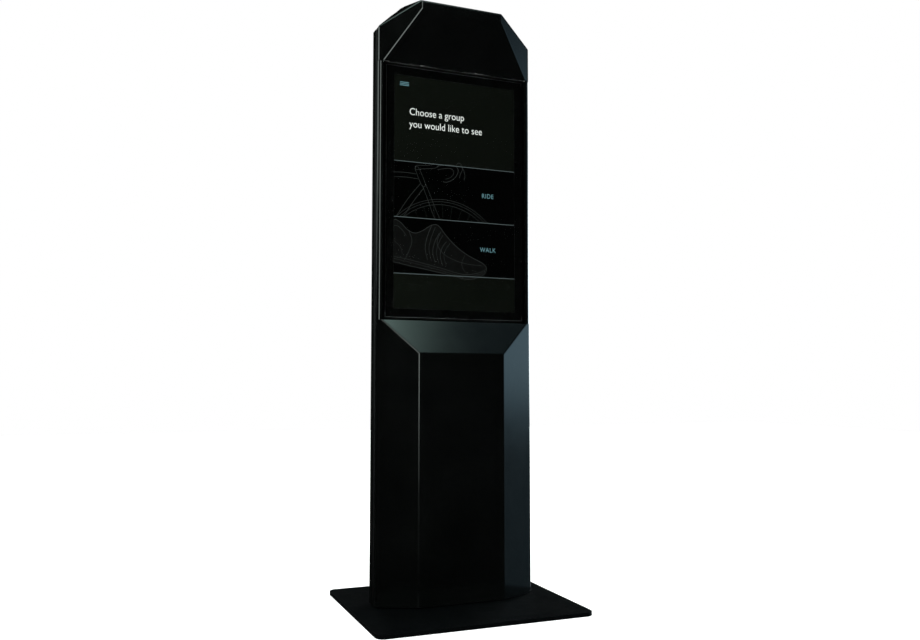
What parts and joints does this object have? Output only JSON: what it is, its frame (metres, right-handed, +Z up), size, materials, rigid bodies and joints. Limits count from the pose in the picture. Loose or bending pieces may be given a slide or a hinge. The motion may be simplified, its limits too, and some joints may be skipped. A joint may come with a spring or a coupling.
{
  "type": "touchscreen kiosk",
  "caption": "Slim free-standing touchscreen kiosk: faceted black column with an upright portrait screen, leaning head, flat base plate and hinged rear service door.",
  "frame": {"origin": "centre of the base's underside, on the floor", "axes": "+Z up; -Y is the direction the screen faces; +X is to the right of a person facing the screen"},
  "size_m": [0.635, 0.515, 1.783],
  "materials": {
    "casing_black": "gloss black coat",
    "band_black": "satin black anodised",
    "base_black": "fine-textured matt black powder coat",
    "cover_glass": "polished, lightly tinted",
    "display_black": "display module, black",
    "frame_steel": "zinc-plated steel",
    "hardware": "blackened steel fasteners and hinges",
    "lock_chrome": "plated lock",
    "rubber_black": "black rubber",
    "foam_black": "black foam tape",
    "board_green": "circuit board",
    "device_grey": "grey ribbed device housing",
    "supply_silver": "power supply housing",
    "plastic_black": "moulded black plastic",
    "rocker_black": "polished black rocker",
    "button_grey": "light grey button",
    "lead_black": "black sheathed leads"
  },
  "bodies": {
    "body": {"base_mat": "rubber_black", "base_plate": "base_black", "foot_plate": "base_black", "cable_grommet": "rubber_black", "foot_bolts": "hardware", "foot_brackets": "frame_steel", "upright_left": "frame_steel", "upright_right": "frame_steel", "middle_cross_member": "frame_steel", "upper_cross_member": "frame_steel", "head_shelf": "frame_steel", "casing_clips": "frame_steel", "lower_casing": "casing_black", "head_casing": "casing_black", "bezel_left": "casing_black", "bezel_right": "casing_black", "glass_rails": "frame_steel", "glass_tape": "foam_black", "cover_glass": "cover_glass", "display_panel": "display_black", "display_bars": "frame_steel", "driver_board": "board_green", "touch_controller": "board_green", "side_band_left": "band_black", "side_band_right": "band_black", "top_band": "band_black", "rear_profile_left": "casing_black", "rear_profile_right": "casing_black", "door_jambs": "casing_black", "rear_top_shell": "casing_black", "rear_sill": "casing_black", "sill_rail": "frame_steel", "mid_rail": "frame_steel", "upper_rear_panel": "casing_black", "panel_screws": "hardware", "door_seal": "foam_black", "hinge_frame_leaves": "hardware", "hinge_pins": "lock_chrome", "equipment_plate": "frame_steel", "power_supply": "supply_silver", "media_player": "device_grey", "inlet_module": "plastic_black", "network_coupler": "plastic_black", "switch_frame": "plastic_black", "fan_frame_left": "plastic_black", "fan_frame_right": "plastic_black", "mains_lead": "lead_black", "network_lead": "lead_black", "player_lead": "lead_black", "display_loom": "lead_black"},
    "door": {"rear_door": "casing_black", "hinge_door_leaves": "hardware", "lock_housing": "lock_chrome", "lock_nut": "hardware"},
    "lock": {"lock_barrel": "lock_chrome", "lock_cam": "frame_steel"},
    "fan_left": {"fan_rotor_left": "plastic_black"},
    "fan_right": {"fan_rotor_right": "plastic_black"},
    "rocker": {"power_rocker": "rocker_black"},
    "player_button": {"power_button": "button_grey"}
  },
  "joints": [
    {"name": "door_hinge", "type": "hinge", "parent": "body", "child": "door", "pos_m": [-0.2145, 0.0605, 0.453], "axis": [0, 0, 1], "range_deg": [0, 110]},
    {"name": "lock_turn", "type": "hinge", "parent": "door", "child": "lock", "pos_m": [0.19, 0.056, 0.453], "axis": [0, 1, 0], "range_deg": [0, 90]},
    {"name": "fan_spin_left", "type": "hinge", "parent": "body", "child": "fan_left", "pos_m": [-0.09, 0.0435, 1.651], "axis": [0, 1, 0], "continuous": true},
    {"name": "fan_spin_right", "type": "hinge", "parent": "body", "child": "fan_right", "pos_m": [0.09, 0.0435, 1.651], "axis": [0, 1, 0], "continuous": true},
    {"name": "rocker_tilt", "type": "hinge", "parent": "body", "child": "rocker", "pos_m": [0, 0.051, 0.055], "axis": [1, 0, 0], "range_deg": [0, 14]},
    {"name": "button_press", "type": "slide", "parent": "body", "child": "player_button", "axis": [0, -1, 0], "range_m": [0, 0.0012], "stiffness_N_per_m": 300}
  ]
}
